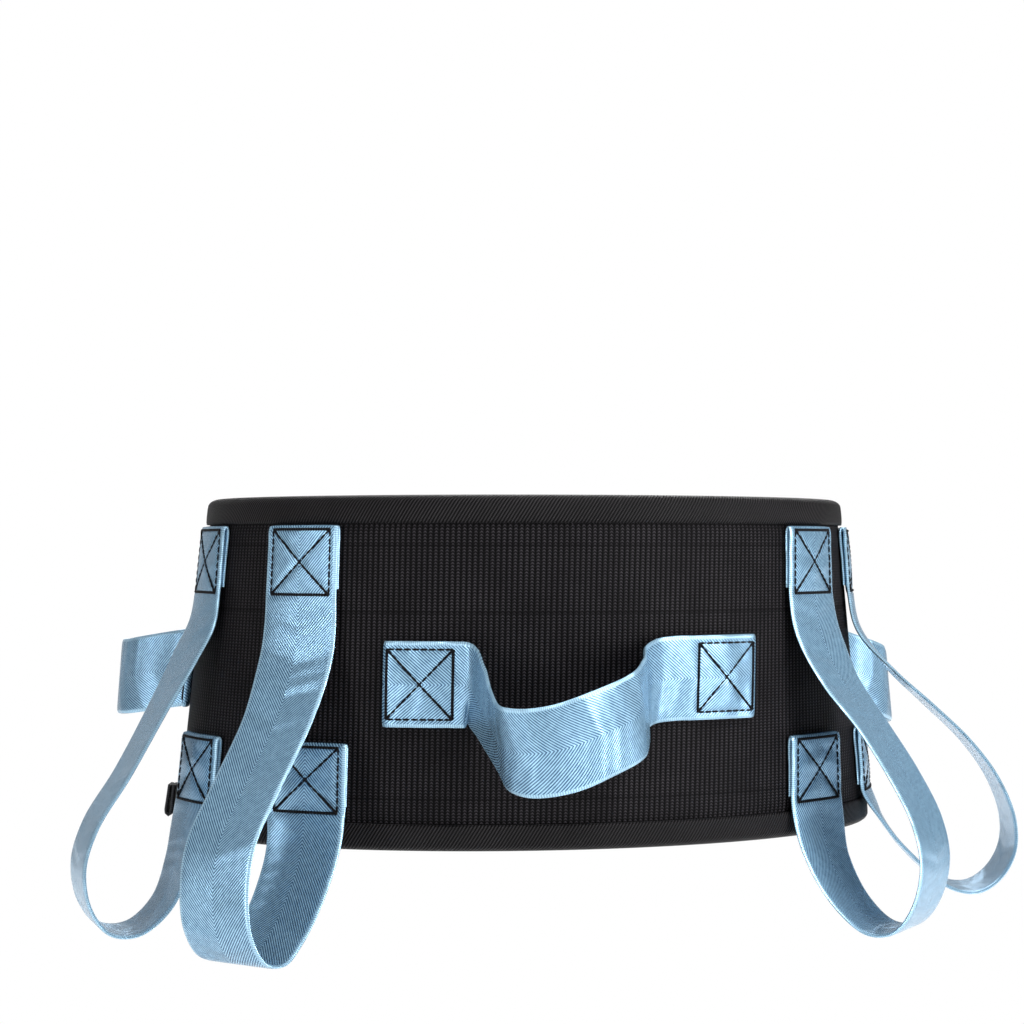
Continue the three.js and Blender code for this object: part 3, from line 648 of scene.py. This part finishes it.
def sewn_down(a, b):
    """Lays a strap on the belt where it is sewn, its width running [a, b] in [along, up], and sinks its
    stitches. The columns of more are along, z, out, hold (1 where it lies on the belt), and the place
    along the patch from its middle."""

    def place(middle, w, more):
        along, z, out, hold, at = (more[:, k : k + 1] for k in range(5))
        hold = np.clip(hold, 0, 1)[..., None]
        lying = on_belt(along + a * w, z + b * w, out)
        outward = unit(on_belt(along, z, out + 1) - on_belt(along, z, out))
        sunk = -0.45 * np.exp(-((box_distance(w[None] + 0 * at, at) / 1.0) ** 2))
        full = 0.25 * np.exp(-((np.hypot(w[None], at) / 9) ** 2))
        top = (out > 2.5) & (hold[..., 0] > 0.97) & (np.abs(at) < 13.6)
        return middle * (1 - hold) + lying * hold + outward * ((sunk + full) * top)[..., None]

    return place


# ---- Upright hand loops --------------------------------------------------------------------------

# Each upright loop: its two places along the belt, how far its plane is turned in degrees, and
# its route's [out from the belt, height] points between the two patches.
UPRIGHT_LOOPS = {
    "left_back": (
        (-107, -101.5),
        -6,
        [
            (TOP_SEAT, 28.7),
            (3.1, 18),
            (4.8, 7),
            (15, -15),
            (35.5, -42),
            (48.5, -59),
            (52.5, -75),
            (51, -90),
            (43.5, -100.5),
            (33, -102.5),
            (24.5, -96.5),
            (15, -83),
            (7, -66.5),
            (TOP_SEAT, -53.1),
        ],
    ),
    "left_side": (
        (-168, -161),
        -8,
        [
            (TOP_SEAT, 28.7),
            (3.6, 17),
            (7.5, 5),
            (18.5, -16),
            (32.5, -41),
            (45, -60.5),
            (49.8, -76),
            (47.5, -91),
            (40, -100.5),
            (29.5, -101),
            (17.5, -91.5),
            (7.5, -73),
            (TOP_SEAT, -53.1),
        ],
    ),
    "right_back": (
        (107, 108.5),
        10,
        [
            (TOP_SEAT, 28.7),
            (4.6, 15),
            (13.2, -4),
            (26.4, -22),
            (38.8, -40),
            (48.3, -58),
            (51.2, -73.5),
            (47.5, -89),
            (40, -98.5),
            (29.5, -100),
            (18.3, -91.5),
            (8.6, -75),
            (TOP_SEAT, -53.1),
        ],
    ),
    "right_side": (
        (161, 162),
        9,
        [
            (TOP_SEAT, 28.7),
            (4.6, 13.5),
            (15.5, -2.5),
            (32, -18),
            (47, -32.5),
            (58, -47.5),
            (64.5, -64),
            (64.5, -77),
            (59, -87.5),
            (50, -93.5),
            (38.5, -92),
            (22.5, -78.5),
            (9.5, -65),
            (TOP_SEAT, -53.1),
        ],
    ),
}
PEEK = {"left_back": 2.4, "left_side": 1.5, "right_back": -0.5, "right_side": 1.4, "center_back": 0.8}


def folded_end():
    """The end of a strap, folded under: its [out, place from the patch's edge] points, cut end first."""
    depth = PATCH_LENGTH
    middle = (UNDER_SEAT + TOP_SEAT) / 2
    return [
        (UNDER_SEAT, 4),
        (UNDER_SEAT, 14),
        (UNDER_SEAT, depth - 1.6),
        (middle, depth - 0.45),
        (TOP_SEAT, depth - 1.6),
        (TOP_SEAT, 20),
        (TOP_SEAT, 10),
    ]


def turned(v, degrees):
    angle = math.radians(degrees)
    c, t = math.cos(angle), math.sin(angle)
    return np.array([c * v[0] - t * v[1], t * v[0] + c * v[1], 0])


def upright_rows(name):
    """Route rows [x, y, z, along, z, out, hold, place along the patch], and the width's direction at each."""
    (upper, lower), turn, shape = UPRIGHT_LOOPS[name]
    middle = (upper + lower) / 2
    base = on_belt(middle, 0, 0)
    sideways = along_belt(middle)
    outward = np.array([sideways[1], -sideways[0], 0])
    first = UPPER_PATCH_Z - PATCH_LENGTH / 2
    last = LOWER_PATCH_Z - PATCH_LENGTH / 2
    top_end = [(out, first + up) for out, up in folded_end()]
    low_end = [(out, last + up) for out, up in reversed(folded_end())]
    whole = top_end + list(shape) + low_end
    rows, wides = [], []
    for i, (out, z) in enumerate(whole):
        sewn = i < len(top_end) or i >= len(whole) - len(low_end)
        share = min(max((i - len(top_end)) / (len(shape) - 1), 0), 1)
        drift = (upper - middle) * (1 - 2 * share)
        centre_z = UPPER_PATCH_Z if z > -12 else LOWER_PATCH_Z
        angle = turn * min(1, (out - TOP_SEAT) / TURNED_BY) if not sewn else 0
        if sewn:
            under = max(0, (TOP_SEAT - out) / (TOP_SEAT - UNDER_SEAT))
            slide = PEEK[name] * under * (centre_z + 14 - z) / PATCH_LENGTH
            point = on_belt(middle + drift + slide, z, out)
        else:
            surface = (on_belt(middle, z, 0) - base) @ outward
            held = max(0, 1 - out / HELD_WITHIN)
            point = base + sideways * drift + turned(outward, angle) * out + outward * surface * held
            point[2] = z
        hold = 1 if sewn else max(0, 1 - (out - TOP_SEAT) / 5)
        rows.append((*point, middle + drift, z, out, hold, z - centre_z))
        wides.append(-turned(sideways, angle))
    return np.array(rows), np.array(wides)


def joint_of(body):
    return next(joint for joint in frame["joints"] if joint["child"] == body)


def bend_with(piece, body):
    """Works out the loop's hinge line and the side away from it, but only bakes the strap's placement into its
    mesh.
    """
    joint = joint_of(body)
    pivot, axis = Vector(joint["pos_m"]), Vector(joint["axis"])
    if abs(axis.z) < 0.5:
        away = Vector((-axis.y, axis.x, 0))
        away *= math.copysign(1, away.dot(pivot))
    else:
        low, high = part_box(frame["record"]["behaviour"]["bodies"][body][0])
        away = (low + high) / 2 - pivot
        away -= axis * away.dot(axis)
    away.normalize()
    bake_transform(piece)


def upright_loop(name):
    rows, wides = upright_rows(name)
    piece = strap(f"{name}_strap", rows[:, :3], wides, BLUE_WEBBING, extra=rows[:, 3:], sewn=sewn_down(-1, 0))
    handle = f"{name}_handle"
    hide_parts(f"{handle}_upper_end", f"{handle}_lower_end", f"{handle}_loop")
    bend_with(piece, f"{name}_loop")
    upper, lower = UPRIGHT_LOOPS[name][0]
    for end, along, z in (("upper", upper, UPPER_PATCH_Z), ("lower", lower, LOWER_PATCH_Z)):
        stitches = box_of_stitches(along, z, STITCH_ACROSS, STITCH_ALONG, True)
        sewn = stitch_mesh(f"{name}_{end}_stitches", stitches, BLACK_THREAD)
        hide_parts(f"{handle}_{end}_stitching")
        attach(sewn, "root_panel")


# ---- Level hand loops ----------------------------------------------------------------------------

# Each level loop: the body it is sewn to, where its two patches start along the belt, and its route's
# [along the belt, out from it, height, tilt, lean] points between them. The tilt turns the top of the
# strap's width back along the belt and the lean turns it outward, in degrees.
LEVEL_LOOPS = {
    "center_back": (
        "root_panel",
        (-72.3, 45),
        [
            (-45.4, TOP_SEAT, -3.6, 0, 0),
            (-40, 4, -4, 0, 4),
            (-37, 8, -8, 2, 12),
            (-33.5, 14.5, -14.5, 4, 20),
            (-30, 23.5, -21, 6, 22),
            (-27.5, 33, -24.5, 7, 8),
            (-21, 40.5, -25.5, 9, -3),
            (-11, 43.5, -23.5, 11, -4),
            (1, 41, -18.5, 12, 0),
            (12.5, 33.5, -13.5, 9, 0),
            (19, 21, -9, 5, 0),
            (23.3, 9, -5, 1, 0),
            (29.5, 3.6, -2.8, 0, 0),
            (37, TOP_SEAT, -2, 0, 0),
            (46, TOP_SEAT, -2, 0, 0),
        ],
    ),
    "left_front": (
        "left_arm",
        (-221, -320),
        [
            (-219.9, TOP_SEAT, -2, 0, 0),
            (-221.5, 7, -3, 0, 0),
            (-222.5, 20, -5, 0, 0),
            (-226, 39, -8, 0, 0),
            (-237, 52, -9, 0, 0),
            (-254, 54, -9, 0, 0),
            (-271, 44, -7, 0, 0),
            (-285, 23, -4, 0, 0),
            (-290, 7, -2.5, 0, 0),
            (-293.1, TOP_SEAT, -2, 0, 0),
        ],
    ),
    "right_front": (
        "right_arm",
        (193, 292),
        [
            (219.9, TOP_SEAT, -2, 0, 0),
            (219, 9, -3.5, 0, 0),
            (216, 24, -8, 0, 0),
            (216.5, 42, -13.5, 0, 0),
            (226.5, 58, -17.5, 0, 0),
            (242, 59.5, -17.5, 0, 0),
            (260, 48, -13, 0, 0),
            (276, 30, -8, 0, 0),
            (287, 13, -4, 0, 0),
            (293.1, TOP_SEAT, -2, 0, 0),
        ],
    ),
}


def level_rows(patches, route):
    ends = []
    for k in (0, 1):
        start = patches[k]
        inner = abs(route[-k][0] - start) > PATCH_LENGTH / 2
        edge, way = (start + PATCH_LENGTH, -1) if inner else (start, 1)
        ends.append([(edge + way * up, out, route[-k][2], 0, 0) for out, up in folded_end()])
    whole = ends[0] + list(route) + ends[1][::-1]
    forward = np.sign(route[-1][0] - route[0][0])
    rows, wides = [], []
    for i, (along, out, z, tilt, lean) in enumerate(whole):
        sewn = i < len(ends[0]) or i >= len(whole) - len(ends[1])
        hold = 1 if sewn else max(0, 1 - (out - TOP_SEAT) / 4)
        k = 0 if i < len(whole) / 2 else 1
        place = along - patches[k] - PATCH_LENGTH / 2
        rows.append((*on_belt(along, z, out), along, z, out, hold, place))
        back = along_belt(along) * math.sin(math.radians(tilt))
        outward = unit(on_belt(along, z, 1) - on_belt(along, z, 0)) * math.sin(math.radians(lean))
        wides.append(unit(up_belt(along) - back + outward) * forward)
    return np.array(rows), np.array(wides), forward


def level_loop(name):
    parent, patches, route = LEVEL_LOOPS[name]
    rows, wides, forward = level_rows(patches, route)
    sewn = sewn_down(0, forward)
    piece = strap(f"{name}_strap", rows[:, :3], wides, BLUE_WEBBING, extra=rows[:, 3:], sewn=sewn)
    handle = f"{name}_handle"
    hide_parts(f"{handle}_first_end", f"{handle}_second_end", f"{handle}_loop")
    bend_with(piece, f"{name}_loop")
    for end, start, z in zip(("first", "second"), patches, (route[0][2], route[-1][2])):
        middle = start + PATCH_LENGTH / 2
        stitches = box_of_stitches(middle, z, STITCH_ALONG, STITCH_ACROSS, False)
        sewn = stitch_mesh(f"{name}_{end}_stitches", stitches, BLACK_THREAD)
        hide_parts(f"{handle}_{end}_stitching")
        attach(sewn, parent)


# ---- Building ------------------------------------------------------------------------------------


def belt_half(side, name):
    """One half of the belt. The right half also stands for the CAD's back pieces."""
    body = f"{name}_arm"
    cover = panel(side, f"{name}_panel")
    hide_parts(f"{body}_shell", f"{body}_foam_core", f"{body}_liner")
    if side > 0:
        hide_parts("back_shell", "back_foam_core", "back_liner")
    edge = binding(side, f"{name}_binding")
    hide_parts(f"{body}_binding")
    if side > 0:
        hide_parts("back_top_binding", "back_bottom_binding")
    for piece in (cover, edge):
        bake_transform(piece)


belt_half(1, "right")
belt_half(-1, "left")
for loop in UPRIGHT_LOOPS:
    upright_loop(loop)
for loop in LEVEL_LOOPS:
    level_loop(loop)


# ---- Closure -------------------------------------------------------------------------------------

SEWN_IN = -3.65  # how deep the closure webbing is sewn in, between an arm's face and its lining
FEMALE_BAR_X, MALE_BAR_X = 34, -12
TURN_AT_FEMALE, TURN_AT_MALE = 3.65, 2.65
TAB_ALONG = -200


def body_of(node):
    bodies = frame["record"]["behaviour"]["bodies"]
    return next(body for body, nodes in bodies.items() if node in nodes)


def moulding(node, rounding=0.0007):
    """A buckle piece with its edges rounded, in place of its square-edged node."""
    source = frame["nodes"][node]
    mesh = source.data.copy()
    mesh.materials.clear()
    mesh.materials.append(BUCKLE_PLASTIC)
    piece = bpy.data.objects.new(f"{node}_moulding", mesh)
    piece.matrix_world = source.matrix_world.copy()
    bpy.context.scene.collection.objects.link(piece)
    flat = piece.modifiers.new("flat_faces", "DECIMATE")
    flat.decimate_type = "DISSOLVE"
    flat.angle_limit = math.radians(1)
    bevel = piece.modifiers.new("rounding", "BEVEL")
    bevel.width = rounding
    bevel.segments = 3
    bevel.limit_method = "ANGLE"
    bevel.angle_limit = math.radians(30)
    made = piece.evaluated_get(bpy.context.evaluated_depsgraph_get())
    finished = bpy.data.meshes.new_from_object(made)
    piece.modifiers.clear()
    piece.data = finished
    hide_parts(node)
    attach(piece, body_of(node))


def sewn_stretch(side):
    """The closure webbing between an arm's face and its lining, out to the arm's end."""
    return [(on_belt(side * along, 0, SEWN_IN), up_belt(side * along)) for along in np.linspace(303, 335, 5)]


def at_buckle(places):
    return [(np.array([x, BUCKLE_Y + out, 0.0]), np.array([0.0, 0.0, 1.0])) for x, out in places]


def turn_round(bar_x, radius, facing):
    angles = np.linspace(0, np.pi, 9)
    return [(bar_x + facing * radius * math.sin(a), -radius * math.cos(a)) for a in angles]


def woven(node, places, material, width, thick=STRAP_THICK):
    """A strap through places, each a point and the direction of its width, in place of a node."""
    centres = np.array([point for point, _ in places])
    wides = np.array([wide for _, wide in places])
    piece = strap(f"{node}_webbing", centres, wides, material, width, thick)
    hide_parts(node)
    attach(piece, body_of(node))


def closure_webbing():
    female = [(39, -3.8), *turn_round(FEMALE_BAR_X, TURN_AT_FEMALE, -1), (40.5, 3.65)]
    woven("female_tab", sewn_stretch(1) + at_buckle(female), BLACK_WEBBING, CLOSURE_WIDTH)
    straight = [(x, -4.6) for x in (-37, -30, -23, -16)]
    woven("closure_strap", sewn_stretch(-1) + at_buckle(straight), BLACK_WEBBING, CLOSURE_WIDTH)
    wrap = [(-23, -2.65), *turn_round(MALE_BAR_X, TURN_AT_MALE, 1)]
    lift = [(-20, 2.75), (-28, 3.8), (-35, 5), (-43, 5.8)]
    tail = [(on_belt(along, 0, 6), up_belt(along)) for along in (-326, -318, -309)]
    woven("closure_strap_tail", at_buckle(wrap + lift) + tail, BLACK_WEBBING, CLOSURE_WIDTH)


def keeper():
    """A narrow woven ring, closed on the wearer's side, that holds the strap's tail down."""
    inner, outer, reach, corner = -6.45, 7.3, 20.8, 2.2
    ring = [(inner, -1), (inner, -10)]
    for centre_out, centre_z, first in ((inner, -1, 180), (outer, -1, 270), (outer, 1, 0), (inner, 1, 90)):
        middle_out = centre_out + (corner if centre_out == inner else -corner)
        middle_z = centre_z * (reach - corner)
        for angle in np.radians(np.linspace(first, first + 90, 4)):
            ring.append((middle_out + corner * math.cos(angle), middle_z + corner * math.sin(angle)))
        if centre_out == outer and centre_z < 0:
            ring.append((outer, 0))
    ring += [(inner, 10), (inner, 1)]
    places = [(np.array([-37.5, BUCKLE_Y + out, z]), np.array([1.0, 0.0, 0.0])) for out, z in ring]
    woven("strap_keeper", places, BLACK_WEBBING, 5, 1.1)


def lower_tab():
    """A short folded tab sewn on over the lower edge tape."""
    fold = [(2.9, -49.8), (2.9, -55), (2.9, -61), (3.9, -61.9), (4.9, -61), (4.9, -55), (4.7, -49.8)]
    places = [(on_belt(TAB_ALONG, z, out), along_belt(TAB_ALONG)) for out, z in fold]
    woven("lower_tab", places, GREY_WEBBING, TAB_WIDTH, 1.4)


for node in ("buckle_female", "buckle_male", "buckle_upper_prong", "buckle_lower_prong"):
    moulding(node)
closure_webbing()
keeper()
lower_tab()

# ---- Stage ---------------------------------------------------------------------------------------


def paper():
    """Matt paper that the camera sees as plain white, whatever light falls on it."""
    material = bpy.data.materials.new("paper")
    material.use_nodes = True
    tree = material.node_tree
    matt = tree.nodes["Principled BSDF"]
    matt.inputs["Base Color"].default_value = (0.9, 0.9, 0.9, 1)
    matt.inputs["Roughness"].default_value = 0.9
    glow = tree.nodes.new("ShaderNodeEmission")
    rays = tree.nodes.new("ShaderNodeLightPath")
    mix = tree.nodes.new("ShaderNodeMixShader")
    tree.links.new(rays.outputs["Is Camera Ray"], mix.inputs[0])
    tree.links.new(matt.outputs[0], mix.inputs[1])
    tree.links.new(glow.outputs[0], mix.inputs[2])
    tree.links.new(mix.outputs[0], tree.nodes["Material Output"].inputs["Surface"])
    return material


def stage():
    """A floor that curves up into the backdrop behind the object."""
    floor_z, back_y, radius, half = -0.2, 2.2, 0.8, 4.0
    profile = [(-4.0, floor_z)]
    for angle in np.linspace(0, np.pi / 2, 17):
        y = back_y + radius * math.sin(angle)
        profile.append((y, floor_z + radius * (1 - math.cos(angle))))
    profile.append((back_y + radius, 4.0))
    points = [(x, y, z) for y, z in profile for x in (-half, half)]
    faces = [(2 * i, 2 * i + 1, 2 * i + 3, 2 * i + 2) for i in range(len(profile) - 1)]
    mesh = bpy.data.meshes.new("backdrop")
    mesh.from_pydata(points, [], faces)
    mesh.materials.append(paper())
    mesh.polygons.foreach_set("use_smooth", [True] * len(mesh.polygons))
    backdrop = bpy.data.objects.new("backdrop", mesh)
    bpy.context.scene.collection.objects.link(backdrop)


def soft_light(name, place, size, power, aim=(0, 0, 0)):
    data = bpy.data.lights.new(name, "AREA")
    data.shape = "RECTANGLE"
    data.size, data.size_y = size
    data.energy = power
    light = bpy.data.objects.new(name, data)
    light.location = place
    light.rotation_euler = (Vector(aim) - Vector(place)).to_track_quat("-Z", "Y").to_euler()
    bpy.context.scene.collection.objects.link(light)


def lighting():
    soft_light("key", (0.6, -1.4, 1.4), (0.5, 0.5), 30)
    soft_light("left_strip", (-1.6, -1.0, 0.2), (0.2, 1.2), 12)
    soft_light("right_strip", (1.3, -1.5, 0.3), (0.2, 1.2), 28)
    soft_light("top", (0.1, 0.2, 1.9), (1.0, 1.0), 18)
    soft_light("floor_light", (0, -0.6, 2.6), (3.5, 1.0), 12, (0, -1.6, -0.2))
    soft_light("back_light", (0.4, 1.6, 1.2), (1.2, 0.8), 18)
    world = bpy.data.worlds.new("studio")
    bpy.context.scene.world = world
    world.use_nodes = True
    tree = world.node_tree
    sky = tree.nodes["Background"]
    sky.inputs["Color"].default_value = (1, 1, 1, 1)
    rays = tree.nodes.new("ShaderNodeLightPath")
    strength = tree.nodes.new("ShaderNodeMix")
    strength.inputs[2].default_value = 0.2
    strength.inputs[3].default_value = 1.0
    tree.links.new(rays.outputs["Is Camera Ray"], strength.inputs[0])
    tree.links.new(strength.outputs[0], sky.inputs["Strength"])


stage()
lighting()
bpy.context.scene.view_settings.view_transform = "Standard"
